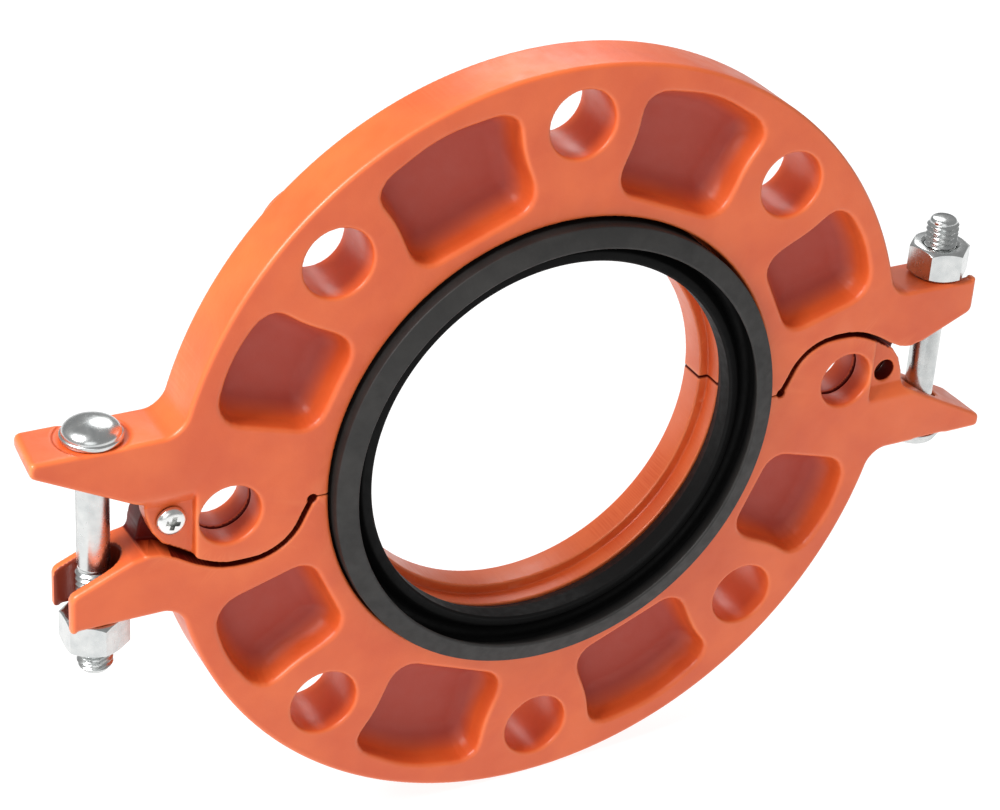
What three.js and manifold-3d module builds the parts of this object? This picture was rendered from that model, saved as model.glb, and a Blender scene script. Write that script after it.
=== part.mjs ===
// Grooved-pipe flange adapter (a split flange coupling), nominal pipe size 100 mm.
// Two identical half castings close round a grooved pipe. They lap over each other at
// both sides, turn on a hinge screw, and are drawn together by two closure bolts.
//
// Frame, millimetres: the pipe axis is Y, the mating face is the plane y = 0 and faces -Y,
// Z is up and the closure bolts are vertical. The origin is the bore centre on the mating face.

import * as THREE from 'three';
import { mergeVertices } from 'three/addons/utils/BufferGeometryUtils.js';
import Module from 'manifold-3d';

const wasm = await Module();
wasm.setup();

// ---------- driving dimensions ----------

const BOLT_CIRCLE_RADIUS = 95.25;
const BOLT_HOLE_COUNT = 8;
const BOLT_HOLE_RADIUS = 9.6;
const LAP_HOLE_RADIUS = 8.4; // the two holes that pass through both castings

const FLANGE_RADIUS = 111.5;
const FLANGE_THICKNESS = 17;
const LAP_CLEARANCE = 0.5; // between the front and back lap lugs
const PARTING_GAP = 1.5; // along the curved laps
const PAD_GAP = 0.5; // between the pads beside the gasket
const PAD_RADIUS = 72.6; // the pads end here, at the relief hole of the curved lap

const POCKET_RADIUS = 68.1; // gasket pocket
const POCKET_DEPTH = 12;
const BORE_RADIUS = 58.5;
const KEY_RADIUS = 55.6; // the key that sits in the pipe's groove
const KEY_FRONT = 17.5;
const HUB_RADIUS = 71.2; // inside the pads, so the hub parts on the plane z = 0
const HUB_BACK = 27;
const EDGE_CHAMFER = 1.2;
const BOSS_RADIUS = 15; // bosses round the bolt holes, on the back of the flange
const BOSS_BACK = 19.5;

const CORE_INNER_RADIUS = 75; // cored pockets between the bolt holes
const CORE_OUTER_RADIUS = 104;
const CORE_DEPTH = 10;
const CORE_CORNER = 8;
const CORE_BOSS_RADIUS = 16.4; // the pockets keep this far from the bolt hole centres

const HEAD_EAR_SEAT = 26.6; // height of the flat that a bolt head bears on
const NUT_EAR_SEAT = 25.3; // height of the flat that a nut bears on
const CLOSURE_BOLT_X = 129.1;
const CLOSURE_BOLT_Y = FLANGE_THICKNESS / 2;
const HEAD_EAR_TIP = 148;
const NUT_EAR_TIP = 137.8;
const EAR_ROOT = { x: 118.4, z: 7.7 };
const SLOT_WIDTH = 10.8;
const SLOT_INBOARD_CLEARANCE = 2;
const HEAD_RECESS_DEPTH = 0.5;
const HEAD_RECESS_RADIUS = 9.6;
const LIP_HEIGHT = 0.6; // keeps a tightened nut from sliding out of its slot
const LIP_START = 136.4;

const THREAD_RADIUS = 4.76;
const SHANK_RADIUS = 4.3;
const BOLT_LENGTH = 69.6; // from the underside of the head to the end
const THREAD_LENGTH = 32;
const BOLT_HEAD_RADIUS = 8.1;
const BOLT_HEAD_HEIGHT = 5;
const BOLT_HOLE_IN_EAR = 5.4;
const NUT_ACROSS_FLATS = 16;
const NUT_HEIGHT = 9.5;
const NUT_TURN = { left: 30, right: -20 }; // degrees, how each nut came to rest
const SEAT_GAP = 0.3; // kept between pieces that rest on each other

const HINGE = { x: -110.7, z: 1.1 };
const HINGE_PAD_DEPTH = 2.6; // keeps the screw head behind the mating face
const HINGE_PAD_X = 104.6;
const HINGE_SCREW_RADIUS = 3;
const HINGE_SCREW_HEAD_RADIUS = 4;
const HINGE_SCREW_HEAD_HEIGHT = 2.1;
const HINGE_SCREW_END = 15.5;

const GASKET_RADIUS = 67.3;
const GASKET_BACK = 11.6;
const GASKET_DROP = 0.5; // the gasket hangs a little low in its pocket
const PIPE_LIP_RADIUS = 55.3;
const FLANGE_LIP_FRONT = -4.6; // the lip that meets the facing flange stands proud
const FLANGE_LIP_EDGE = -3.2; // and slopes back to its outer edge
const FLANGE_LIP_RADIUS = 61.3;

const RING_SEGMENTS = 72;
const ROUND_SEGMENTS = 24;
const BEYOND = 5; // how far a cutting solid runs past what it cuts
const FAR = 170; // outside the whole coupling

// ---------- materials ----------

const orangePaint = (name) =>
  new THREE.MeshStandardMaterial({ name, color: 0xd9643a, roughness: 0.5, metalness: 0 });
const blackRubber = () =>
  new THREE.MeshStandardMaterial({ name: 'gasket', color: 0x2b2926, roughness: 0.75, metalness: 0 });
const zincSteel = (name) =>
  new THREE.MeshStandardMaterial({ name, color: 0xc8cccc, roughness: 0.3, metalness: 1 });

// ---------- solids ----------

function toSolid(geometry) {
  const bare = geometry.clone();
  bare.deleteAttribute('normal');
  bare.deleteAttribute('uv');
  const merged = mergeVertices(bare, 1e-4);
  const vertProperties = new Float32Array(merged.attributes.position.array);
  const triVerts = new Uint32Array(merged.index.array);
  return new wasm.Manifold(new wasm.Mesh({ numProp: 3, vertProperties, triVerts }));
}

function toGeometry(solid) {
  const mesh = solid.getMesh();
  const geometry = new THREE.BufferGeometry();
  geometry.setAttribute('position', new THREE.BufferAttribute(mesh.vertProperties, 3));
  geometry.setIndex(new THREE.BufferAttribute(mesh.triVerts, 1));
  geometry.computeVertexNormals();
  return geometry;
}

// A closed outline of [x, z] corners. A third number rounds that corner by its radius.
function outline(corners) {
  const shape = new THREE.Shape();
  corners.forEach(([x, z, radius = 0], index) => {
    const corner = new THREE.Vector2(x, z);
    const before = new THREE.Vector2(...corners.at(index - 1));
    const after = new THREE.Vector2(...corners[(index + 1) % corners.length]);
    const start = before.sub(corner).setLength(radius).add(corner);
    const end = after.sub(corner).setLength(radius).add(corner);
    if (index === 0) shape.moveTo(start.x, start.y);
    else shape.lineTo(start.x, start.y);
    if (radius > 0) shape.quadraticCurveTo(x, z, end.x, end.y);
  });
  return shape;
}

// An outline in X and Z, carried along Y from front to back.
function plate(shape, front, back) {
  const options = { depth: back - front, bevelEnabled: false, curveSegments: 3 };
  const geometry = new THREE.ExtrudeGeometry(shape, options);
  geometry.rotateX(Math.PI / 2);
  geometry.translate(0, back, 0);
  return toSolid(geometry);
}

// An outline in X and Y, carried along Z from bottom to top.
function pillar(shape, bottom, top) {
  const options = { depth: top - bottom, bevelEnabled: false, curveSegments: ROUND_SEGMENTS / 2 };
  return toSolid(new THREE.ExtrudeGeometry(shape, options).translate(0, 0, bottom));
}

// A closed [radius, y] profile turned round the Y axis.
function turned(profile) {
  const points = [...profile, profile[0]].map(([radius, y]) => new THREE.Vector2(radius, y));
  return toSolid(new THREE.LatheGeometry(points, RING_SEGMENTS));
}

function cylinderAlongY(radius, x, z, front, back) {
  const geometry = new THREE.CylinderGeometry(radius, radius, back - front, ROUND_SEGMENTS);
  return toSolid(geometry.translate(x, (front + back) / 2, z));
}

function cylinderAlongZ(radius, x, y, bottom, top) {
  const geometry = new THREE.CylinderGeometry(radius, radius, top - bottom, ROUND_SEGMENTS);
  geometry.rotateX(Math.PI / 2);
  return toSolid(geometry.translate(x, y, (bottom + top) / 2));
}

const joined = (solids) => solids.reduce((whole, solid) => whole.add(solid));
const cut = (solid, tools) => tools.reduce((rest, tool) => rest.subtract(tool), solid);

// ---------- half casting ----------

// The centre line of the curved lap on the right of the mating face, from the pads outward.
const LAP_LINE = [
  [PAD_RADIUS, 0.4], [74.6, 4.2], [77, 8.8], [80.6, 12.4], [85.6, 14.7],
  [91.5, 15.3], [97.5, 14.7], [103.6, 12.3], [109.2, 8.9],
];
const RECESS_END = [[113.6, 7.6], [118, 6.9], [FAR, 6.9]]; // on outward from the lap line
const TONGUE_END = [[-FAR, 6.9], [-117.8, 6.9], [-117, 2.4], [-115.4, -2.2], [-112.8, -5.8]];

// The lap line moved sideways, toward the outside of its curve where distance is above zero.
function lapLineMovedBy(distance) {
  const line = LAP_LINE.map(([x, z]) => new THREE.Vector2(x, z));
  return line.map((point, index) => {
    const before = line[Math.max(index - 1, 0)];
    const after = line[Math.min(index + 1, line.length - 1)];
    const along = after.clone().sub(before).normalize();
    return [point.x - along.y * distance, point.y + along.x * distance];
  });
}

// Everything above the parting line of the upper casting. In the front layer its tongue
// reaches down on the left; the back layer is the mirror image, with its lug on the right.
function partingMask(front, back, tongueSide) {
  const recess = lapLineMovedBy(PARTING_GAP / 2);
  const tongue = lapLineMovedBy(-PARTING_GAP / 2).map(([x, z]) => [-x, -z]);
  const corners = [
    ...TONGUE_END, ...tongue.reverse(),
    [-PAD_RADIUS + 0.6, PAD_GAP / 2], [PAD_RADIUS - 0.6, PAD_GAP / 2],
    ...recess, ...RECESS_END, [FAR, FAR], [-FAR, FAR],
  ];
  const placed = corners.map(([x, z]) => [x * tongueSide, z]);
  return plate(outline(tongueSide > 0 ? placed : placed.reverse()), front, back);
}

// Where front and back layers of one casting are both solid, they are one piece.
function joiningMask(front, back) {
  const side = [...lapLineMovedBy(PARTING_GAP / 2), ...RECESS_END];
  const mirrored = side.map(([x, z]) => [-x, z]).reverse();
  return plate(outline([...mirrored, ...side, [FAR, FAR], [-FAR, FAR]]), front, back);
}

function wholeRing() {
  const edge = FLANGE_RADIUS - EDGE_CHAMFER;
  const flange = turned([
    [POCKET_RADIUS, 0], [POCKET_RADIUS, POCKET_DEPTH], [BORE_RADIUS, POCKET_DEPTH],
    [BORE_RADIUS, FLANGE_THICKNESS], [edge, FLANGE_THICKNESS],
    [FLANGE_RADIUS, FLANGE_THICKNESS - EDGE_CHAMFER], [FLANGE_RADIUS, EDGE_CHAMFER], [edge, 0],
  ].reverse());
  const hub = turned([
    [BORE_RADIUS, FLANGE_THICKNESS - 1], [BORE_RADIUS, KEY_FRONT], [KEY_RADIUS, KEY_FRONT],
    [KEY_RADIUS, HUB_BACK - 1.2], [KEY_RADIUS + 2, HUB_BACK], [HUB_RADIUS - 2.5, HUB_BACK],
    [HUB_RADIUS, HUB_BACK - 2], [HUB_RADIUS + 0.6, FLANGE_THICKNESS - 1],
  ].reverse());
  return flange.add(hub);
}

// The ear that a bolt head bears on, at the left of the upper casting.
function headEar() {
  return plate(outline([
    [-98, 40], [-90, 20], [-95, -2], [-104, -12], [-113, -8], [-117.6, -2], [-117.8, 6.8],
    [-EAR_ROOT.x, EAR_ROOT.z], [-HEAD_EAR_TIP + 0.6, 22.6], [-HEAD_EAR_TIP, 25.3, 0.8],
    [-HEAD_EAR_TIP + 1.6, HEAD_EAR_SEAT], [-109.4, HEAD_EAR_SEAT, 5], [-104.6, 35],
  ]), 0, FLANGE_THICKNESS);
}

// The slotted ear that a nut bears on, at the right of the upper casting.
function nutEar() {
  const lipTop = NUT_EAR_SEAT + LIP_HEIGHT;
  return plate(outline([
    [98, 40], [104.6, 35], [109.4, NUT_EAR_SEAT, 5], [LIP_START, NUT_EAR_SEAT],
    [LIP_START + 0.3, lipTop], [NUT_EAR_TIP - 0.5, lipTop], [NUT_EAR_TIP, lipTop - 0.6],
    [NUT_EAR_TIP, 14.9, 2.5], [121.6, 7.8, 2], [EAR_ROOT.x, EAR_ROOT.z - 0.5], [117.6, 5],
    [117.6, -2], [113, -8], [104, -12], [95, -2], [90, 20],
  ]), 0, FLANGE_THICKNESS);
}

// A cored pocket: four rounded corners, with its outer side following the flange.
function corePocket(middle, innerHalf, outerHalf) {
  const corner = (radius, angle, rounding) => {
    const turn = THREE.MathUtils.degToRad(angle);
    return [radius * Math.cos(turn), radius * Math.sin(turn), rounding];
  };
  return plate(outline([
    corner(CORE_INNER_RADIUS, middle - innerHalf, CORE_CORNER * 0.8),
    corner(CORE_OUTER_RADIUS, middle - outerHalf, CORE_CORNER),
    corner(CORE_OUTER_RADIUS + 2, middle, 6),
    corner(CORE_OUTER_RADIUS, middle + outerHalf, CORE_CORNER),
    corner(CORE_INNER_RADIUS, middle + innerHalf, CORE_CORNER * 0.8),
  ]), -BEYOND, CORE_DEPTH);
}

// The centres of the flange bolt holes. Those with onLap pass through both castings.
function boltCentres() {
  const centres = [];
  for (let index = 0; index < BOLT_HOLE_COUNT; index += 1) {
    const turn = (index / BOLT_HOLE_COUNT) * Math.PI * 2;
    const x = BOLT_CIRCLE_RADIUS * Math.cos(turn);
    const z = BOLT_CIRCLE_RADIUS * Math.sin(turn);
    centres.push({ x, z, onLap: Math.abs(z) < 1 });
  }
  return centres;
}

function boltHoles() {
  return boltCentres().map(({ x, z, onLap }) => {
    const radius = onLap ? LAP_HOLE_RADIUS : BOLT_HOLE_RADIUS;
    return cylinderAlongY(radius, x, z, -BEYOND, FLANGE_THICKNESS + BEYOND);
  });
}

function backBosses() {
  return boltCentres()
    .filter(({ onLap }) => !onLap)
    .map(({ x, z }) => cylinderAlongY(BOSS_RADIUS, x, z, FLANGE_THICKNESS - 1, BOSS_BACK));
}

function corePockets() {
  const pockets = joined([
    corePocket(25.2, 10, 9.6), corePocket(67.5, 13.4, 12.4),
    corePocket(112.5, 13.4, 12.4), corePocket(154.8, 10, 9.6),
  ]);
  const bosses = boltCentres().map(({ x, z }) =>
    cylinderAlongY(CORE_BOSS_RADIUS, x, z, -2 * BEYOND, CORE_DEPTH + BEYOND));
  return cut(pockets, bosses);
}

function closureBoltCuts() {
  const slotEnd = CLOSURE_BOLT_X - THREAD_RADIUS - SLOT_INBOARD_CLEARANCE;
  const half = SLOT_WIDTH / 2;
  const slot = new THREE.Shape();
  slot.absarc(slotEnd + half, CLOSURE_BOLT_Y, half, Math.PI / 2, (Math.PI * 3) / 2);
  slot.lineTo(NUT_EAR_TIP + BEYOND, CLOSURE_BOLT_Y - half);
  slot.lineTo(NUT_EAR_TIP + BEYOND, CLOSURE_BOLT_Y + half);
  return [
    pillar(slot, 0, NUT_EAR_SEAT + BEYOND),
    cylinderAlongZ(BOLT_HOLE_IN_EAR, -CLOSURE_BOLT_X, CLOSURE_BOLT_Y, 0, HEAD_EAR_SEAT + BEYOND),
    cylinderAlongZ(
      HEAD_RECESS_RADIUS, -CLOSURE_BOLT_X, CLOSURE_BOLT_Y,
      HEAD_EAR_SEAT - HEAD_RECESS_DEPTH, HEAD_EAR_SEAT + BEYOND,
    ),
  ];
}

// The tongue's recessed pad and clearance hole, and the tapped hole in the back lug.
function hingeCuts() {
  const pad = outline([
    [-HINGE_PAD_X, -16], [-HINGE_PAD_X, 7.2, 2], [-117, 7.2], [-125, 7.2], [-125, -16],
  ].reverse());
  const back = FLANGE_THICKNESS + BEYOND;
  const clear = HINGE_SCREW_RADIUS + 0.35;
  return [
    plate(pad, -BEYOND, HINGE_PAD_DEPTH),
    cylinderAlongY(clear, HINGE.x, HINGE.z, -BEYOND, FLANGE_THICKNESS / 2),
    cylinderAlongY(clear, -HINGE.x, -HINGE.z, FLANGE_THICKNESS / 2, back),
  ];
}

function upperCasting() {
  const middle = FLANGE_THICKNESS / 2;
  const frontBack = middle - LAP_CLEARANCE / 2;
  const backFront = middle + LAP_CLEARANCE / 2;
  const mask = joined([
    partingMask(-BEYOND, frontBack, 1),
    joiningMask(frontBack - LAP_CLEARANCE, backFront + LAP_CLEARANCE),
    partingMask(backFront, HUB_BACK + BEYOND, -1),
  ]);
  const blank = joined([wholeRing(), ...backBosses(), headEar(), nutEar()]).intersect(mask);
  return cut(blank, [...boltHoles(), corePockets(), ...closureBoltCuts(), ...hingeCuts()]);
}

// ---------- gasket ----------

function gasket() {
  return turned([
    [GASKET_RADIUS, GASKET_BACK], [GASKET_RADIUS, FLANGE_LIP_EDGE + 0.4],
    [GASKET_RADIUS - 0.4, FLANGE_LIP_EDGE],
    [FLANGE_LIP_RADIUS + 0.6, FLANGE_LIP_FRONT], [FLANGE_LIP_RADIUS, FLANGE_LIP_FRONT + 0.3],
    [63.9, 1.6], [63.4, 4.4], [60.8, 4.9], [58.2, 0.9], [PIPE_LIP_RADIUS + 0.5, 0.5],
    [PIPE_LIP_RADIUS, 0.9], [PIPE_LIP_RADIUS, 5.7], [57.6, 10.4], [59.2, GASKET_BACK],
  ].reverse()).translate([0, 0, -GASKET_DROP]);
}

// ---------- fasteners ----------

// A round-headed closure bolt, head up, with the underside of its head at z = 0.
function closureBolt() {
  const dome = [];
  for (let step = 0; step <= 4; step += 1) {
    const turn = (step / 4) * (Math.PI / 2);
    const height = 1.4 + (BOLT_HEAD_HEIGHT - 1.4) * Math.sin(turn);
    dome.push([Math.max(BOLT_HEAD_RADIUS * Math.cos(turn), 0), height]);
  }
  const profile = [
    [0, -BOLT_LENGTH], [THREAD_RADIUS - 1, -BOLT_LENGTH], [THREAD_RADIUS, 1 - BOLT_LENGTH],
    [THREAD_RADIUS, THREAD_LENGTH - BOLT_LENGTH],
    [SHANK_RADIUS, THREAD_LENGTH - BOLT_LENGTH + 0.6], [SHANK_RADIUS, 0],
    [BOLT_HEAD_RADIUS, 0], ...dome.slice(0, -1), [0, BOLT_HEAD_HEIGHT],
  ];
  const points = profile.map(([radius, y]) => new THREE.Vector2(radius, y));
  return new THREE.LatheGeometry(points, ROUND_SEGMENTS).rotateX(Math.PI / 2);
}

// A hexagon nut with chamfered corners, lying from z = 0 up to its height. With a turn of
// zero degrees two of its corners point along X.
function closureNut(turn) {
  const cornerRadius = NUT_ACROSS_FLATS / Math.sqrt(3);
  const chamfer = 1.1;
  const hexagon = new THREE.CylinderGeometry(cornerRadius, cornerRadius, NUT_HEIGHT, 6);
  hexagon.rotateX(Math.PI / 2).rotateZ(Math.PI / 2).translate(0, 0, NUT_HEIGHT / 2);
  const flatRadius = NUT_ACROSS_FLATS / 2;
  const barrel = [
    [0, 0], [flatRadius, 0], [cornerRadius + 0.2, chamfer],
    [cornerRadius + 0.2, NUT_HEIGHT - chamfer], [flatRadius, NUT_HEIGHT], [0, NUT_HEIGHT],
  ].map(([radius, y]) => new THREE.Vector2(radius, y));
  const round = new THREE.LatheGeometry(barrel, ROUND_SEGMENTS).rotateX(Math.PI / 2);
  const bore = cylinderAlongZ(THREAD_RADIUS + SEAT_GAP, 0, 0, -BEYOND, NUT_HEIGHT + BEYOND);
  const nut = toSolid(hexagon).intersect(toSolid(round)).subtract(bore);
  return toGeometry(nut.rotate([0, 0, turn]));
}

// A pan-headed hinge screw along Y, with the underside of its head at y = 0 and a cross slot.
function hingeScrew() {
  const length = HINGE_SCREW_END - HINGE_PAD_DEPTH;
  const head = HINGE_SCREW_HEAD_HEIGHT;
  const profile = [
    [0, -head], [HINGE_SCREW_HEAD_RADIUS - 1.4, -head], [HINGE_SCREW_HEAD_RADIUS, 0.9 - head],
    [HINGE_SCREW_HEAD_RADIUS, 0], [HINGE_SCREW_RADIUS, 0], [HINGE_SCREW_RADIUS, length - 0.8],
    [HINGE_SCREW_RADIUS - 0.8, length], [0, length],
  ].map(([radius, y]) => new THREE.Vector2(radius, y));
  const body = toSolid(new THREE.LatheGeometry(profile, ROUND_SEGMENTS));
  const slots = [[3.6, 0.8], [0.8, 3.6]].map(([width, height]) =>
    toSolid(new THREE.BoxGeometry(width, 2.4, height).translate(0, -head, 0)));
  return toGeometry(cut(body, slots));
}

// ---------- assembly ----------

const coupling = new THREE.Group();

function addPiece(name, geometry, material, position = [0, 0, 0], turn = 0) {
  const mesh = new THREE.Mesh(geometry, material);
  mesh.name = name;
  mesh.position.set(...position);
  mesh.rotation.y = turn;
  coupling.add(mesh);
}

const headSeat = HEAD_EAR_SEAT - HEAD_RECESS_DEPTH + SEAT_GAP;
const nutSeat = NUT_EAR_SEAT + SEAT_GAP;
const HALF_TURN = Math.PI;

addPiece('upper_half', toGeometry(upperCasting()), orangePaint('upper_half'));
addPiece('lower_half', toGeometry(upperCasting()), orangePaint('lower_half'), [0, 0, 0], HALF_TURN);
addPiece('gasket', toGeometry(gasket()), blackRubber());
addPiece('left_closure_bolt', closureBolt(), zincSteel('left_closure_bolt'),
  [-CLOSURE_BOLT_X, CLOSURE_BOLT_Y, headSeat]);
addPiece('left_closure_nut', closureNut(NUT_TURN.left), zincSteel('left_closure_nut'),
  [-CLOSURE_BOLT_X, CLOSURE_BOLT_Y, -nutSeat], HALF_TURN);
addPiece('right_closure_bolt', closureBolt(), zincSteel('right_closure_bolt'),
  [CLOSURE_BOLT_X, CLOSURE_BOLT_Y, -headSeat], HALF_TURN);
addPiece('right_closure_nut', closureNut(NUT_TURN.right), zincSteel('right_closure_nut'),
  [CLOSURE_BOLT_X, CLOSURE_BOLT_Y, nutSeat]);
addPiece('hinge_screw', hingeScrew(), zincSteel('hinge_screw'),
  [HINGE.x, HINGE_PAD_DEPTH - SEAT_GAP, HINGE.z]);

export default coupling;
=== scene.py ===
"""A grooved-pipe flange adapter: two painted castings, a rubber gasket and zinc-plated fasteners.

Shapes are written in millimetres in the part's own frame: the pipe axis is Y, the mating face is
y = 0 and faces -Y, and Z is up. The castings are signed distance fields (negative inside the
metal), so that every cast edge and corner gets its radius, and are meshed on a fine grid. The
lower casting is the upper one turned half a turn about the pipe axis.
"""

import math

import bmesh
import bpy
import numpy as np
import openvdb
from mathutils import Matrix, Vector


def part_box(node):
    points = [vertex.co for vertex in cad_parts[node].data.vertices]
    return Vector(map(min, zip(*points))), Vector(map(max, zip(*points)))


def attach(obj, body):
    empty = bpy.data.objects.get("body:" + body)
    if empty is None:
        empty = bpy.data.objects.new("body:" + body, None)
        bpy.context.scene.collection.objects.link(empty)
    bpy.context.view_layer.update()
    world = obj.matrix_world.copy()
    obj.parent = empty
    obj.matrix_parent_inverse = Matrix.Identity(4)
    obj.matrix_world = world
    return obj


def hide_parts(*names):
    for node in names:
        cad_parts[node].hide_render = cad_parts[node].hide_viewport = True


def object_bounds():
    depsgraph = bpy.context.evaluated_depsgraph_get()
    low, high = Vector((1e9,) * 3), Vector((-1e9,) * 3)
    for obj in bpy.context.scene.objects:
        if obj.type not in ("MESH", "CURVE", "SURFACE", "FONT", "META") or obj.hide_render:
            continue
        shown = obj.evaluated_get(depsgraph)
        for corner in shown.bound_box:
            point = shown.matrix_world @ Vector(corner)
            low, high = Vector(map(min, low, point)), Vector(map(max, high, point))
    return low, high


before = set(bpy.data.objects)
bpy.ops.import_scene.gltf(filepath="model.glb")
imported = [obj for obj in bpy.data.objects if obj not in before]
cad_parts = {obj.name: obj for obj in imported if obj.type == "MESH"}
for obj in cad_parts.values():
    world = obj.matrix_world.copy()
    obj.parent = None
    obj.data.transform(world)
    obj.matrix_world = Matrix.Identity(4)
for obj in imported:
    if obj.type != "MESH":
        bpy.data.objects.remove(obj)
cad_low, cad_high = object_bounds()

MM = 0.001


def millimetre_box(node):
    """A CAD node's lowest and highest corner, in millimetres."""
    low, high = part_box(node)
    return low / MM, high / MM


# ---------- sizes ----------

upper_low, upper_high = millimetre_box("upper_half")
gasket_low, gasket_high = millimetre_box("gasket")
bolt_low, bolt_high = millimetre_box("left_closure_bolt")
nut_low, nut_high = millimetre_box("right_closure_nut")
screw_low, screw_high = millimetre_box("hinge_screw")

FLANGE_RADIUS = upper_high.z
FLANGE_THICKNESS = 17.0
MIDDLE = FLANGE_THICKNESS / 2
HUB_BACK = upper_high.y - 0.01
HUB_RADIUS = 71.2
HUB_TAPER = 0.05
BOLT_CIRCLE_RADIUS = 95.25
BOLT_HOLE_RADIUS = 9.6
LAP_HOLE_RADIUS = 8.4
BOSS_RADIUS = 15.0
BOSS_BACK = 19.5

POCKET_RADIUS = 68.1
POCKET_DEPTH = 12.0
BORE_RADIUS = 58.5
KEY_RADIUS = 55.6
KEY_FRONT = 17.5
KEY_CHAMFER = 1.2
KEY_CHAMFER_SLOPE = 1.67

LAP_CLEARANCE = 0.5
PARTING_GAP = 1.5
PAD_GAP = 0.05
PAD_RADIUS = 72.6
RELIEF_RADIUS = 1.3

CORE_INNER_RADIUS = 75.0
CORE_OUTER_RADIUS = 104.0
CORE_DEPTH = 10.0
CORE_CORNER = 8.0
CORE_DRAFT = 0.15
CORE_FILLET = 6.5
CORE_BOSS_RADIUS = 16.4
# Each pocket's middle, and half its width at its inner and outer corners, in degrees.
CORE_POCKETS = ((25.2, 10, 9.6), (67.5, 13.4, 12.4), (112.5, 13.4, 12.4), (154.8, 10, 9.6))

CLOSURE_BOLT_X = -(bolt_low.x + bolt_high.x) / 2
HEAD_EAR_SEAT = 26.6
NUT_EAR_SEAT = 25.3
HEAD_EAR_TIP = -upper_low.x
TIP_TAPER = 0.09
NUT_EAR_TIP = upper_high.x
SLOT_WIDTH = 10.8
SLOT_END = 122.3
BOLT_HOLE_IN_EAR = 5.4
BOLT_HEAD_RADIUS = (bolt_high.x - bolt_low.x) / 2
BOLT_HEAD_HEIGHT = 5.0
HEAD_RECESS_DEPTH = 0.5
HEAD_RECESS_RADIUS = 9.6
LIP_HEIGHT = 0.6

THREAD_RADIUS = 4.76
THREAD_DEPTH = 0.85
THREAD_PITCH = 1.5875
THREAD_LENGTH = 32.0
SHANK_RADIUS = 4.3
NUT_ACROSS_FLATS = 16.0
NUT_HEIGHT = nut_high.z - nut_low.z
LEFT_NUT_TURN = 30
RIGHT_NUT_TURN = -20

HINGE_X = (screw_low.x + screw_high.x) / 2
HINGE_Z = (screw_low.z + screw_high.z) / 2
HINGE_PAD_DEPTH = 2.6
HINGE_PAD_X = 104.6
HINGE_PAD_TOP = 9.6
HINGE_PAD_SLOPE = 0.65
HINGE_HOLE_RADIUS = 3.35
SCREW_HEAD_HEIGHT = 2.1
SCREW_PITCH = 1.0
SCREW_ROOT = 2.45
SCREW_CREST = 3.0
CROSS_TURN = 15

# ---------- distance fields ----------

VOXEL = 0.5
MARGIN = 2.0
CASTING_FACES = 160_000
ARC_POINTS = 5
CURVE_PARTS = 6


def steps(low, high):
    return np.arange(low - MARGIN, high + MARGIN, VOXEL, dtype=np.float32)


x = steps(upper_low.x, upper_high.x)[:, None, None]
y = steps(upper_low.y, upper_high.y)[None, :, None]
z = steps(upper_low.z, upper_high.z)[None, None, :]
radius = np.hypot(x, z)
GRID_CORNER = np.array([x[0, 0, 0], y[0, 0, 0], z[0, 0, 0]], float)


def common(a, b, rounding):
    """What two solids share, with the edges between them rounded."""
    outside = np.hypot(np.maximum(a + rounding, 0), np.maximum(b + rounding, 0))
    return np.minimum(np.maximum(a, b), -rounding) + outside


def cut(solid, tool, rounding):
    return common(solid, -tool, rounding)


def joined(a, b, fillet):
    """Two solids as one, with a fillet in the corner between them."""
    return -common(-a, -b, fillet)


def circle(centre_x, centre_z, size):
    return np.hypot(x - centre_x, z - centre_z) - size


def slab(front, back):
    return np.abs(y - (front + back) / 2) - (back - front) / 2


def rounded(corners):
    """The points of an outline of [x, z] corners, where a third number rounds a corner."""
    points = []
    for index, corner in enumerate(corners):
        here = Vector(corner[:2])
        before = (Vector(corners[index - 1][:2]) - here).normalized()
        after = (Vector(corners[(index + 1) % len(corners)][:2]) - here).normalized()
        size = corner[2] if len(corner) > 2 else 0
        if size == 0:
            points.append(here)
            continue
        half = before.angle(after) / 2
        centre = here + (before + after).normalized() * size / math.sin(half)
        start = (here + before * size / math.tan(half) - centre).normalized()
        end = (here + after * size / math.tan(half) - centre).normalized()
        for step in range(ARC_POINTS + 1):
            points.append(centre + start.slerp(end, step / ARC_POINTS) * size)
    return [tuple(point) for point in points]


def smooth_line(points):
    """A smooth curve through the points."""
    padded = np.array([points[0], *points, points[-1]], float)
    curve = []
    for a, b, c, d in zip(padded, padded[1:], padded[2:], padded[3:]):
        for t in np.arange(CURVE_PARTS) / CURVE_PARTS:
            curve.append(
                (2 * b + (c - a) * t + (2 * a - 5 * b + 4 * c - d) * t**2
                 + (3 * b - a - 3 * c + d) * t**3) / 2
            )
    return np.array([*curve, points[-1]])


def inside_outline(points):
    """The distance in X and Z to a closed outline, negative inside it."""
    nearest = np.full((x.size, 1, z.size), np.inf, np.float32)
    inside = np.zeros(nearest.shape, bool)
    points = np.asarray(points, np.float32)
    for (x0, z0), (x1, z1) in zip(points, np.roll(points, -1, axis=0)):
        dx, dz = x1 - x0, z1 - z0
        along = ((x - x0) * dx + (z - z0) * dz) / (dx * dx + dz * dz)
        along = np.clip(along, 0, 1)
        nearest = np.minimum(nearest, np.hypot(x - x0 - along * dx, z - z0 - along * dz))
        if dz != 0:
            inside ^= ((z0 > z) != (z1 > z)) & (x < x0 + (z - z0) * dx / dz)
    return np.where(inside, -nearest, nearest)


def at(field, places):
    """The field's values at places in millimetres, between its grid points."""
    position = (places - GRID_CORNER) / VOXEL
    index = np.clip(position.astype(int), 0, np.array(field.shape) - 2)
    part = position - index
    total = 0
    for offset in np.ndindex(2, 2, 2):
        weight = np.prod(np.where(offset, part, 1 - part), axis=1)
        total = total + weight * field[tuple((index + offset).T)]
    return total


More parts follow.
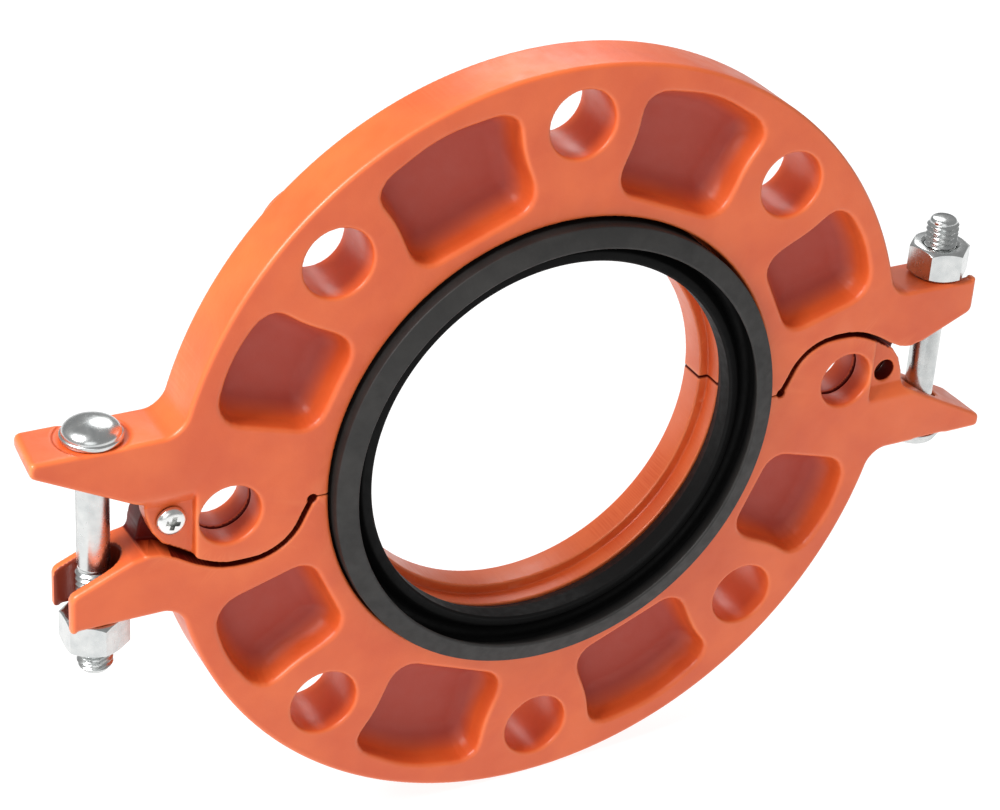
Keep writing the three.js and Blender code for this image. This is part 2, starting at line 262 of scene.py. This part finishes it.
def around(field, places, reach):
    """The field's values a little way off along +X, -X, +Y, -Y, +Z and -Z."""
    offsets = [way * reach * axis for axis in np.eye(3) for way in (1, -1)]
    return np.stack([at(field, places + offset) for offset in offsets], axis=1)


def outward(field, places):
    """The surface's normals, taken from the field, so that flat faces shade flat."""
    values = around(field, places, 0.4)
    rise = values[:, 0::2] - values[:, 1::2]
    return rise / np.linalg.norm(rise, axis=1)[:, None]


# ---------- half casting ----------

# The curved lap on the right of the mating face, from the pads beside the gasket outward.
LAP_LINE = [
    (PAD_RADIUS, 0.4), (74.6, 4.2), (77, 8.8), (80.6, 12.4), (85.6, 14.7),
    (91.5, 15.3), (97.5, 14.7), (103.6, 12.3), (109.2, 8.9),
]
FAR = 170


def lap_line(distance):
    """The lap line moved sideways, toward the outside of its curve where distance > 0."""
    line = smooth_line(LAP_LINE)
    along = np.gradient(line, axis=0)
    along /= np.linalg.norm(along, axis=1)[:, None]
    return line + np.stack([-along[:, 1], along[:, 0]], axis=1) * distance


def above_parting(side):
    """The upper casting's share of one layer. Its tongue reaches down at x < 0 where side is 1."""
    tongue = -lap_line(-PARTING_GAP / 2)[::-1]
    tongue_end = [(-FAR, 6.9), (-117.8, 6.9), (-117, 2.4), (-115.4, -2.2), (-112.8, -5.8)]
    pads = [(-PAD_RADIUS + 0.6, PAD_GAP / 2), (PAD_RADIUS - 0.6, PAD_GAP / 2)]
    recess_end = [(113.6, 7.6), (118, 6.9), (FAR, 6.9), (FAR, FAR), (-FAR, FAR)]
    line = [*tongue_end, *tongue, *pads, *lap_line(PARTING_GAP / 2), *recess_end]
    share = inside_outline([(px * side, pz) for px, pz in line])
    first_x, first_z = LAP_LINE[0]
    for turn in (1, -1):
        relief = circle(first_x * side * turn, first_z * turn, RELIEF_RADIUS)
        share = np.maximum(share, -relief)
    return share


def parting_mask():
    front = above_parting(1)
    back = above_parting(-1)
    half = LAP_CLEARANCE / 2
    return np.minimum.reduce([
        np.maximum(front, y - (MIDDLE - half)),
        np.maximum(back, (MIDDLE + half) - y),
        np.maximum(front, back) + 0 * y,
    ])


def head_ear():
    """The plan of the ear under a bolt head, with the end of the front tongue."""
    return inside_outline(rounded([
        (-90, HEAD_EAR_SEAT), (-HEAD_EAR_TIP, HEAD_EAR_SEAT, 1.6), (-HEAD_EAR_TIP, 22.9, 1),
        (-118.4, 7.7), (-117.8, 6.8), (-117.6, -2, 3), (-113, -8, 3), (-104, -12, 3),
        (-95, -2), (-88, 18),
    ]))


def nut_ear():
    """The plan of the slotted ear under a nut, with its lip and the end of the back lug."""
    lip = NUT_EAR_SEAT + LIP_HEIGHT
    return inside_outline(rounded([
        (90, NUT_EAR_SEAT), (136, NUT_EAR_SEAT, 0.3), (136.5, lip, 0.3), (NUT_EAR_TIP, lip, 0.5),
        (NUT_EAR_TIP, 14.9, 2.5), (121.6, 7.8, 2), (118.4, 7.2), (117.6, 5), (117.6, -2, 3),
        (113, -8, 3), (104, -12, 3), (95, -2), (88, 18),
    ]))


def hole_centres():
    """The upper casting's flange bolt holes: x, z, and whether they pass through a lap."""
    for angle in range(0, 181, 45):
        turn = math.radians(angle)
        hole_x, hole_z = BOLT_CIRCLE_RADIUS * math.cos(turn), BOLT_CIRCLE_RADIUS * math.sin(turn)
        yield hole_x, hole_z, angle % 180 == 0


def blank():
    """The whole upper side before it is parted and cored: flange, ears, bosses and hub."""
    tapered_tip = TIP_TAPER * y - x - HEAD_EAR_TIP
    plan = radius - FLANGE_RADIUS
    for ear in (common(head_ear(), tapered_tip, 1.5), nut_ear()):
        plan = joined(plan, ear, 5)
    flange = common(plan, slab(0, FLANGE_THICKNESS), 1.1)
    for hole_x, hole_z, on_lap in hole_centres():
        if not on_lap:
            boss = common(circle(hole_x, hole_z, BOSS_RADIUS), slab(MIDDLE, BOSS_BACK), 1)
            flange = joined(flange, boss, 1.2)
    hub_side = radius - HUB_RADIUS + (y - FLANGE_THICKNESS) * HUB_TAPER
    hub = common(hub_side, slab(8, HUB_BACK), 2)
    bore = np.minimum.reduce([
        common(radius - POCKET_RADIUS, y - POCKET_DEPTH, 1),
        np.maximum(radius - BORE_RADIUS, y - KEY_FRONT),
        radius - KEY_RADIUS - np.maximum(y - HUB_BACK + KEY_CHAMFER, 0) * KEY_CHAMFER_SLOPE,
    ])
    return cut(joined(flange, hub, 2.5), bore, 0.7)


def core_pocket(middle, inner_half, outer_half):
    """A cored pocket, shaped by the flange outside and by the bolt bosses at its sides."""
    def corner(distance, angle, rounding):
        turn = math.radians(angle)
        return (distance * math.cos(turn), distance * math.sin(turn), rounding)

    plan = inside_outline(rounded([
        corner(CORE_INNER_RADIUS, middle - inner_half, CORE_CORNER * 0.8),
        corner(CORE_OUTER_RADIUS, middle - outer_half, CORE_CORNER),
        corner(CORE_OUTER_RADIUS + 2, middle, 40),
        corner(CORE_OUTER_RADIUS, middle + outer_half, CORE_CORNER),
        corner(CORE_INNER_RADIUS, middle + inner_half, CORE_CORNER * 0.8),
    ]))
    for hole_x, hole_z, on_lap in hole_centres():
        if not on_lap:
            plan = cut(plan, circle(hole_x, hole_z, CORE_BOSS_RADIUS), 4)
    return common(plan + CORE_DRAFT * y, y - CORE_DEPTH, CORE_FILLET)


def closure_cuts():
    """The nut's open slot, the bolt's hole, and the shallow recess under its head."""
    beside = y - MIDDLE
    half = SLOT_WIDTH / 2
    slot = np.hypot(np.minimum(x - SLOT_END - half, 0), beside) - half
    hole = np.hypot(x + CLOSURE_BOLT_X, beside) - BOLT_HOLE_IN_EAR
    recess = np.hypot(x + CLOSURE_BOLT_X, beside) - HEAD_RECESS_RADIUS
    recess_floor = HEAD_EAR_SEAT - HEAD_RECESS_DEPTH
    return [
        np.maximum(slot, 100 - x),
        hole + 0 * z,
        np.maximum(recess, recess_floor - z),
    ]


def hinge_cuts():
    """The screw's pad, which runs out toward the ear, and the holes in tongue and lug."""
    pad_depth = np.minimum(HINGE_PAD_DEPTH, (HINGE_PAD_TOP - z) * HINGE_PAD_SLOPE)
    return [
        common(x + HINGE_PAD_X, y - pad_depth, 0.8),
        np.maximum(circle(HINGE_X, HINGE_Z, HINGE_HOLE_RADIUS), y - MIDDLE),
        np.maximum(circle(-HINGE_X, -HINGE_Z, HINGE_HOLE_RADIUS), MIDDLE - y),
    ]


def upper_casting(parting):
    solid = common(blank(), parting, 0.25)
    for middle, inner_half, outer_half in CORE_POCKETS:
        solid = cut(solid, core_pocket(middle, inner_half, outer_half), 1.2)
    for hole_x, hole_z, on_lap in hole_centres():
        size = LAP_HOLE_RADIUS if on_lap else BOLT_HOLE_RADIUS
        solid = cut(solid, circle(hole_x, hole_z, size) + 0 * y, 0.9)
    for tool in [*closure_cuts(), *hinge_cuts()]:
        solid = cut(solid, tool, 0.5)
    return solid


# ---------- meshes ----------


def finish_mesh(name, mesh, sharp_angle=None):
    mesh.shade_smooth()
    if sharp_angle is not None:
        mesh.set_sharp_from_angle(angle=math.radians(sharp_angle))
    piece = bpy.data.objects.new(name, mesh)
    bpy.context.scene.collection.objects.link(piece)
    return piece


def applied(piece):
    """The piece's mesh with its modifiers applied, in place of the old one."""
    graph = bpy.context.evaluated_depsgraph_get()
    mesh = bpy.data.meshes.new_from_object(piece.evaluated_get(graph))
    piece.modifiers.clear()
    piece.data = mesh
    return piece


def places_of(mesh):
    """The mesh's points, in millimetres."""
    places = np.empty(len(mesh.vertices) * 3)
    mesh.vertices.foreach_get("co", places)
    return places.reshape(-1, 3) / MM


def field_mesh(name, field):
    """The surface of a distance field on the casting grid, thinned where it is flat."""
    grid = openvdb.FloatGrid(MARGIN)
    grid.copyFromArray(np.clip(field, -MARGIN, MARGIN).astype(np.float32))
    grid.gridClass = openvdb.GridClass.LEVEL_SET
    points, quads = grid.convertToQuads(0.0)
    mesh = bpy.data.meshes.new(name)
    mesh.from_pydata((points * VOXEL + GRID_CORNER) * MM, [], quads[:, ::-1].tolist())
    piece = finish_mesh(name, mesh)
    thin = piece.modifiers.new("thin", "DECIMATE")
    thin.ratio = min(1, CASTING_FACES / (2 * len(quads)))
    return applied(piece)


def revolved(name, column_at, segments, along_y=False, closed=False, sharp_angle=35):
    """A mesh round an axis from the (radius, height) points that column_at gives at each angle."""
    points, faces = [], []
    for segment in range(segments):
        angle = 2 * math.pi * segment / segments
        column = column_at(angle)
        for distance, height in column:
            across, up = distance * math.cos(angle), distance * math.sin(angle)
            points.append((across, height, up) if along_y else (across, up, height))
    count = len(column)
    for segment in range(segments):
        near, far = segment * count, (segment + 1) % segments * count
        for index in range(count if closed else count - 1):
            after = (index + 1) % count
            faces.append((near + index, far + index, far + after, near + after))
    mesh = bpy.data.meshes.new(name)
    mesh.from_pydata([Vector(point) * MM for point in points], [], faces)
    shape = bmesh.new()
    shape.from_mesh(mesh)
    bmesh.ops.remove_doubles(shape, verts=shape.verts, dist=0.002 * MM)
    bmesh.ops.recalc_face_normals(shape, faces=shape.faces)
    shape.to_mesh(mesh)
    shape.free()
    return finish_mesh(name, mesh, sharp_angle)


# ---------- gasket ----------


def gasket():
    """The moulded ring: a proud flange lip, an open groove, and a pipe lip inside."""
    outer = gasket_high.x
    back = gasket_high.y
    lip_front = gasket_low.y
    profile = rounded([
        (outer, back, 0.8), (outer, lip_front + 1.4, 0.5), (61.9, lip_front, 0.4),
        (61.2, lip_front + 0.3, 0.4), (63.9, 1.6, 1.5), (63.4, 4.4, 1.8), (60.8, 4.9, 1.8),
        (58.2, 0.9, 1.2), (55.9, 0.4, 0.5), (55.3, 1.0, 0.5), (55.3, 5.7, 1.5),
        (57.6, 10.4, 1.5), (59.2, back, 0.6),
    ])
    ring = revolved("gasket_ring", lambda angle: profile, 240, along_y=True, closed=True)
    # Painted shade inside the ring, growing with depth past the lip.
    depth = places_of(ring.data)[:, 1]
    painted_inner_shade = ring.data.attributes.new("painted_inner_shade", "FLOAT", "POINT")
    painted_inner_shade.data.foreach_set("value", np.clip((depth - lip_front - 1.2) / 1.5, 0, 1))
    ring.location.z = (gasket_low.z + gasket_high.z) / 2 * MM
    return ring


# ---------- fasteners ----------


def thread_height(height, angle, pitch):
    """How far up its flank a thread is at a height and angle: 0 at the root, 1 at the crest."""
    phase = (height / pitch - angle / (2 * math.pi)) % 1
    return min(max(1.3 * (1 - abs(2 * phase - 1)) - 0.15, 0), 1)


def threaded(start, end, angle, pitch, root, crest):
    """Points up a thread, which fades out over one pitch at both ends."""
    column = []
    rows = round((end - start) / pitch * 8)
    for row in range(rows + 1):
        height = start + (end - start) * row / rows
        fade = min((height - start) / (0.6 * pitch), (end - height) / (1.2 * pitch), 1)
        rise = thread_height(height, angle, pitch) * max(fade, 0)
        column.append((root + (crest - root) * rise, height))
    return column


def closure_bolt(name):
    """A round-headed bolt, head up, with the underside of its head at height 0."""
    length = bolt_high.z - bolt_low.z - BOLT_HEAD_HEIGHT
    root = THREAD_RADIUS - THREAD_DEPTH
    rim = 1.3
    head = [(SHANK_RADIUS, -0.8), (SHANK_RADIUS + 0.25, -0.2), (SHANK_RADIUS + 0.8, 0)]
    head += [(BOLT_HEAD_RADIUS - 0.4, 0), (BOLT_HEAD_RADIUS - 0.1, 0.1), (BOLT_HEAD_RADIUS, 0.4)]
    head += [(BOLT_HEAD_RADIUS, rim - 0.3), (BOLT_HEAD_RADIUS - 0.15, rim)]
    dome_radius = BOLT_HEAD_RADIUS - 0.5
    for step in range(15):
        turn = step / 14 * math.pi / 2
        dome = (BOLT_HEAD_HEIGHT - rim - 0.15) * math.sin(turn)
        head.append((dome_radius * math.cos(turn) ** 0.9, rim + 0.15 + dome))

    def column_at(angle):
        thread = threaded(0.8 - length, THREAD_LENGTH - length, angle, THREAD_PITCH, root,
                          THREAD_RADIUS)
        return [(0, -length), (root - 0.7, -length), (root - 0.25, 0.3 - length), *thread,
                (SHANK_RADIUS, THREAD_LENGTH - length + 0.8), *head]

    return revolved(name, column_at, 64, sharp_angle=50)


def closure_nut(name):
    """A hexagon nut with chamfered corners, lying from height 0 up, two corners along X."""
    flat = NUT_ACROSS_FLATS / 2
    bore = THREAD_RADIUS + 0.2
    slope = math.tan(math.radians(30))

    def column_at(angle):
        beside_flat = (angle + math.pi / 6) % (math.pi / 3) - math.pi / 6
        side = flat / math.cos(math.pi / 6 - abs(beside_flat))
        drop = (side - flat + 0.25) * slope + 0.1
        return [
            (bore, 0.7), (bore + 0.7, 0), (flat - 0.5, 0), (flat - 0.25, 0.1),
            (side - 0.12, drop), (side, drop + 0.15),
            (side, NUT_HEIGHT - drop - 0.15), (side - 0.12, NUT_HEIGHT - drop),
            (flat - 0.25, NUT_HEIGHT - 0.1), (flat - 0.5, NUT_HEIGHT), (bore + 0.7, NUT_HEIGHT),
            (bore, NUT_HEIGHT - 0.7),
        ]

    return revolved(name, column_at, 96, closed=True, sharp_angle=25)


def cross_cutter():
    """The shape of a cross recess, narrowing as it goes down."""
    arm, half, depth = 2.4, 0.8, 2
    plan = []
    for quarter in range(4):
        turn = Matrix.Rotation(quarter * math.pi / 2, 2)
        plan += [turn @ Vector(corner) for corner in ((arm, -half), (arm, half), (half, half))]
    points = [(*corner * 0.6, -depth) for corner in plan] + [(*corner, depth) for corner in plan]
    count = len(plan)
    faces = [tuple(range(count))[::-1], tuple(range(count, 2 * count))]
    for index in range(count):
        after = (index + 1) % count
        faces.append((index, after, count + after, count + index))
    mesh = bpy.data.meshes.new("cross_cutter")
    mesh.from_pydata([Vector(point) * MM for point in points], [], faces)
    return finish_mesh("cross_cutter", mesh)


def hinge_screw():
    """A pan-headed screw along Y, its cross recess facing -Y."""
    front, back = screw_low.y, screw_high.y
    head_radius = (screw_high.x - screw_low.x) / 2
    under = front + SCREW_HEAD_HEIGHT

    def column_at(angle):
        thread = threaded(under + 1.2, back - 1, angle, SCREW_PITCH, SCREW_ROOT, SCREW_CREST)
        return [
            (0, front), (1.6, front + 0.03), (2.6, front + 0.18), (3.3, front + 0.5),
            (3.8, front + 1.0), (head_radius, front + 1.6), (head_radius - 0.05, under - 0.15),
            (head_radius - 0.25, under), (2.9, under), (2.6, under + 0.3), *thread,
            (1.7, back), (0, back),
        ]

    screw = revolved("hinge_pan_screw", column_at, 48, along_y=True, sharp_angle=50)
    cutter = cross_cutter()
    cutter.rotation_euler = (math.pi / 2, math.radians(CROSS_TURN), 0)
    cutter.location.y = (front + 0.1) * MM
    recess = screw.modifiers.new("recess", "BOOLEAN")
    recess.object = cutter
    recess.operation = "DIFFERENCE"
    recess.solver = "EXACT"
    applied(screw)
    screw.data.set_sharp_from_angle(angle=math.radians(40))
    bpy.data.objects.remove(cutter)
    screw.location = (HINGE_X * MM, 0, HINGE_Z * MM)
    return screw


# ---------- materials ----------


def principled(name):
    material = bpy.data.materials.new(name)
    material.use_nodes = True
    tree = material.node_tree
    shader = tree.nodes["Principled BSDF"]
    return material, tree, shader


def noise(tree, size, detail=2.0, roughness=0.5):
    """Noise in the piece's own coordinates, with grains of about that size in millimetres."""
    place = tree.nodes.new("ShaderNodeTexCoord")
    texture = tree.nodes.new("ShaderNodeTexNoise")
    texture.inputs["Scale"].default_value = 1 / (size * MM)
    texture.inputs["Detail"].default_value = detail
    texture.inputs["Roughness"].default_value = roughness
    tree.links.new(place.outputs["Object"], texture.inputs["Vector"])
    return texture.outputs[0]


def ranged(tree, value, low, high, to_low, to_high):
    """The value, with low..high mapped onto to_low..to_high."""
    ramp = tree.nodes.new("ShaderNodeMapRange")
    for socket, number in zip(list(ramp.inputs)[1:5], (low, high, to_low, to_high)):
        socket.default_value = number
    tree.links.new(value, ramp.inputs[0])
    return ramp.outputs[0]


def colour_between(tree, factor, first, second):
    """A mix of two colours, each a colour or a socket."""
    mix = tree.nodes.new("ShaderNodeMix")
    mix.data_type = "RGBA"
    tree.links.new(factor, mix.inputs["Factor"])
    for socket, colour in ((mix.inputs[6], first), (mix.inputs[7], second)):
        if isinstance(colour, bpy.types.NodeSocket):
            tree.links.new(colour, socket)
        else:
            socket.default_value = (*colour, 1)
    return mix.outputs[2]


def bump(tree, shader, layers):
    """Bumps from (height socket, depth in millimetres) layers, one on top of another."""
    normal = None
    for height, depth in layers:
        node = tree.nodes.new("ShaderNodeBump")
        node.inputs["Distance"].default_value = depth * MM
        tree.links.new(height, node.inputs["Height"])
        if normal is not None:
            tree.links.new(normal, node.inputs["Normal"])
        normal = node.outputs["Normal"]
    tree.links.new(normal, shader.inputs["Normal"])


def attribute(tree, name):
    node = tree.nodes.new("ShaderNodeAttribute")
    node.attribute_name = name
    return node.outputs["Fac"]


def plus(tree, first, second):
    node = tree.nodes.new("ShaderNodeMath")
    tree.links.new(first, node.inputs[0])
    tree.links.new(second, node.inputs[1])
    return node.outputs[0]


def orange_paint():
    """Glossy orange enamel over a casting, duller in the cores; painted shade darkens the cores and
    joints, and a painted highlight lightens the rounded edges.
    """
    material, tree, shader = principled("orange_enamel")
    blotches = ranged(tree, noise(tree, 22, 3), 0.35, 0.65, 0, 1)
    colour = colour_between(tree, blotches, (0.68, 0.093, 0.018), (0.78, 0.130, 0.027))
    # Painted shade: the floors of the cored pockets are darkened toward a deep red.
    colour = colour_between(tree, attribute(tree, "painted_core_shade"), colour, (0.40, 0.05, 0.028))
    # Painted highlight: rounded edges are lightened toward a bright orange.
    colour = colour_between(tree, attribute(tree, "painted_edge_highlight"), colour, (0.86, 0.20, 0.06))
    # Painted shade: the joints, the slot walls and the hinge holes are darkened nearly to black.
    colour = colour_between(tree, attribute(tree, "painted_joint_shade"), colour, (0.11, 0.006, 0.003))
    tree.links.new(colour, shader.inputs["Base Color"])
    gloss = ranged(tree, noise(tree, 5, 4), 0.3, 0.7, 0.34, 0.48)
    dull = ranged(tree, attribute(tree, "painted_core_shade"), 0, 1, 0, 0.25)
    tree.links.new(plus(tree, gloss, dull), shader.inputs["Roughness"])
    # Less shine in the painted shade of the joints.
    shine = ranged(tree, attribute(tree, "painted_joint_shade"), 0, 1, 0.5, 0.1)
    tree.links.new(shine, shader.inputs["Specular IOR Level"])
    bump(tree, shader, [(noise(tree, 7, 2), 0.12), (noise(tree, 1.3, 3, 0.6), 0.05)])
    shader.inputs["Coat Weight"].default_value = 0.15
    shader.inputs["Coat Roughness"].default_value = 0.3
    return material


def black_rubber():
    """Moulded rubber with a fine grain and a faint bloom, and painted shade inside the ring."""
    material, tree, shader = principled("gasket_rubber")
    bloom = ranged(tree, noise(tree, 9, 4), 0.4, 0.75, 0, 1)
    colour = colour_between(tree, bloom, (0.017, 0.016, 0.015), (0.030, 0.028, 0.026))
    # Painted shade: the inside of the ring is darkened nearly to black, with less shine.
    colour = colour_between(tree, attribute(tree, "painted_inner_shade"), colour, (0.004, 0.004, 0.004))
    tree.links.new(colour, shader.inputs["Base Color"])
    tree.links.new(ranged(tree, noise(tree, 2.5, 3), 0.3, 0.7, 0.5, 0.66), shader.inputs["Roughness"])
    shine = ranged(tree, attribute(tree, "painted_inner_shade"), 0, 1, 0.45, 0.12)
    tree.links.new(shine, shader.inputs["Specular IOR Level"])
    bump(tree, shader, [(noise(tree, 0.8, 3), 0.03)])
    return material


def plated_steel(name, dull, bright):
    """Zinc plate, a little uneven in tone and gloss."""
    material, tree, shader = principled(name)
    cloud = ranged(tree, noise(tree, 4, 3), 0.3, 0.7, 0, 1)
    tree.links.new(colour_between(tree, cloud, dull, bright), shader.inputs["Base Color"])
    tree.links.new(ranged(tree, noise(tree, 1.6, 4), 0.3, 0.7, 0.2, 0.29), shader.inputs["Roughness"])
    bump(tree, shader, [(noise(tree, 0.6, 2), 0.006)])
    shader.inputs["Metallic"].default_value = 1
    return material


def paint_marks(mesh, field, parting, slot):
    """Marks each point for painted light: painted shade down in the cores, a painted highlight on
    rounded edges, and painted shade in the joints, the slot and the hinge holes.
    """
    places = places_of(mesh)
    away = np.hypot(places[:, 0], places[:, 2])
    depth = places[:, 1]
    in_core = (away > CORE_INNER_RADIUS - 3) & (away < CORE_OUTER_RADIUS + 3)
    # Painted shade on the core floors, growing with depth.
    painted_core_shade = in_core * np.clip((depth - 5) / 4, 0, 1) * np.clip(CORE_DEPTH + 1 - depth, 0, 1)
    # Painted highlight where the surface bends outward.
    bend = around(field, places, 1.5).mean(axis=1) - at(field, places)
    # Painted shade on the parting faces, the slot walls and the hinge holes.
    start = np.where(away < FLANGE_RADIUS, 0.2, 7.5)
    on_parting = (at(parting, places) > -0.4) * np.clip((depth - start) / 0.5, 0, 1)
    on_slot = 0.9 * (np.abs(at(slot, places)) < 0.4)
    beside_hinge = np.hypot(np.abs(places[:, 0]) + HINGE_X, places[:, 2] - HINGE_Z)
    in_hinge = (beside_hinge < HINGE_HOLE_RADIUS + 0.3) & (depth > HINGE_PAD_DEPTH + 0.6)
    marks = {
        "painted_core_shade": painted_core_shade,
        "painted_edge_highlight": np.clip(bend / 0.5, 0, 1) ** 2,
        "painted_joint_shade": np.maximum.reduce([on_parting, on_slot, in_hinge]),
    }
    for name, values in marks.items():
        layer = mesh.attributes.new(name, "FLOAT", "POINT")
        layer.data.foreach_set("value", values.astype(np.float32))


# ---------- assembly ----------


def add(piece, body, node, material, turn=None):
    if turn is not None:
        piece.matrix_world = turn
    piece.data.materials.clear()
    piece.data.materials.append(material)
    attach(piece, body)
    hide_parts(node)


def place(px, pz, upside_down=False, spin=0):
    """A fastener's place in the middle of the flange's thickness."""
    turn = Matrix.Rotation(math.pi if upside_down else 0, 4, "Y")
    spun = Matrix.Rotation(math.radians(spin), 4, "Z")
    return Matrix.Translation(Vector((px, MIDDLE, pz)) * MM) @ turn @ spun


def castings(paint):
    """Both castings: the lower one is a copy of the upper one's mesh, turned half a turn."""
    parting = parting_mask()
    slot = closure_cuts()[0] + 0 * z
    casting = upper_casting(parting)
    upper = field_mesh("upper_casting", casting)
    paint_marks(upper.data, casting, parting, slot)
    normals = outward(casting, places_of(upper.data))
    lower_mesh = upper.data.copy()
    lower_mesh.transform(Matrix.Rotation(math.pi, 4, "Y"))
    lower = finish_mesh("lower_casting", lower_mesh)
    upper.data.normals_split_custom_set_from_vertices(normals)
    lower.data.normals_split_custom_set_from_vertices(normals * (-1, 1, -1))
    add(upper, "upper_half", "upper_half", paint)
    add(lower, "lower_half", "lower_half", paint)


def closure_fasteners(zinc):
    """The two closure bolts and nuts: head up on the left, head down on the right."""
    head_seat = bolt_high.z - BOLT_HEAD_HEIGHT
    nut_seat = nut_low.z
    add(closure_bolt("left_bolt"), "upper_half", "left_closure_bolt", zinc,
        place(-CLOSURE_BOLT_X, head_seat))
    add(closure_nut("left_nut"), "left_nut", "left_closure_nut", zinc,
        place(-CLOSURE_BOLT_X, -nut_seat, upside_down=True, spin=LEFT_NUT_TURN))
    add(closure_bolt("right_bolt"), "right_bolt", "right_closure_bolt", zinc,
        place(CLOSURE_BOLT_X, -head_seat, upside_down=True))
    add(closure_nut("right_nut"), "right_nut", "right_closure_nut", zinc,
        place(CLOSURE_BOLT_X, nut_seat, spin=RIGHT_NUT_TURN))


rubber = black_rubber()
screw_zinc = plated_steel("screw_zinc", (0.74, 0.75, 0.74), (0.86, 0.86, 0.84))
castings(orange_paint())
add(gasket(), "lower_half", "gasket", rubber)
add(hinge_screw(), "lower_half", "hinge_screw", screw_zinc)
# The closure bolts and nuts get a darker copy of the zinc than the screw: painted shade, for darker
# reflections.
closure_fasteners(plated_steel("closure_zinc", (0.54, 0.56, 0.56), (0.68, 0.69, 0.68)))

# ---------- floor, light and camera ----------


FLOOR_HALF_WIDTH = 4
FLOOR_GAP = 0.0002


def floor():
    mesh = bpy.data.meshes.new("floor")
    size = FLOOR_HALF_WIDTH
    height = cad_low.z - FLOOR_GAP
    corners = [(-size, -size, height), (size, -size, height), (size, size, height),
               (-size, size, height)]
    mesh.from_pydata(corners, [], [(0, 1, 2, 3)])
    plane = bpy.data.objects.new("floor", mesh)
    bpy.context.scene.collection.objects.link(plane)
    material, _, shader = principled("floor")
    shader.inputs["Base Color"].default_value = (0.2, 0.2, 0.2, 1)
    shader.inputs["Roughness"].default_value = 0.9
    shader.inputs["Emission Color"].default_value = (1, 1, 1, 1)
    shader.inputs["Emission Strength"].default_value = 0.9
    mesh.materials.append(material)


def soft_light(name, location, size, power):
    """A round area light, aimed at the middle of the part."""
    lamp = bpy.data.lights.new(name, "AREA")
    lamp.shape = "DISK"
    lamp.size = size
    lamp.energy = power
    holder = bpy.data.objects.new(name, lamp)
    holder.location = location
    holder.rotation_mode = "QUATERNION"
    holder.rotation_quaternion = (-Vector(location)).to_track_quat("-Z", "Y")
    holder.visible_camera = False
    bpy.context.scene.collection.objects.link(holder)


def sky():
    world = bpy.data.worlds.new("studio")
    world.use_nodes = True
    background = world.node_tree.nodes["Background"]
    background.inputs["Color"].default_value = (1, 1, 1, 1)
    background.inputs["Strength"].default_value = 0.35
    bpy.context.scene.world = world


def camera():
    """Looks from the left and above, rolled a little, with the frame moved off the centre."""
    azimuth, elevation, roll = (math.radians(angle) for angle in (30.67, 27.04, 4.67))
    target, distance = Vector((-0.0007, 0, 0.0535)), 0.6628
    back = Vector((-math.sin(azimuth) * math.cos(elevation),
                   -math.cos(azimuth) * math.cos(elevation), math.sin(elevation)))
    lens = bpy.data.cameras.new("camera")
    lens.sensor_width = 36
    lens.lens = 90.66
    lens.shift_x = -0.0702
    lens.shift_y = -0.1346
    lens.clip_start = 0.01
    eye = bpy.data.objects.new("camera", lens)
    eye.location = target + back * distance
    eye.rotation_mode = "QUATERNION"
    level = (-back).to_track_quat("-Z", "Y")
    eye.rotation_quaternion = level @ Matrix.Rotation(roll, 3, "Z").to_quaternion()
    bpy.context.scene.collection.objects.link(eye)
    bpy.context.scene.camera = eye


floor()
sky()
soft_light("key", (-0.85, -0.05, 0.85), 0.6, 20)
soft_light("front_fill", (-0.6, -1.1, 0.5), 0.9, 2.7)
soft_light("rear_top", (0.40, 0.75, 0.75), 0.6, 3)
camera()
bpy.context.scene.view_settings.view_transform = "Standard"
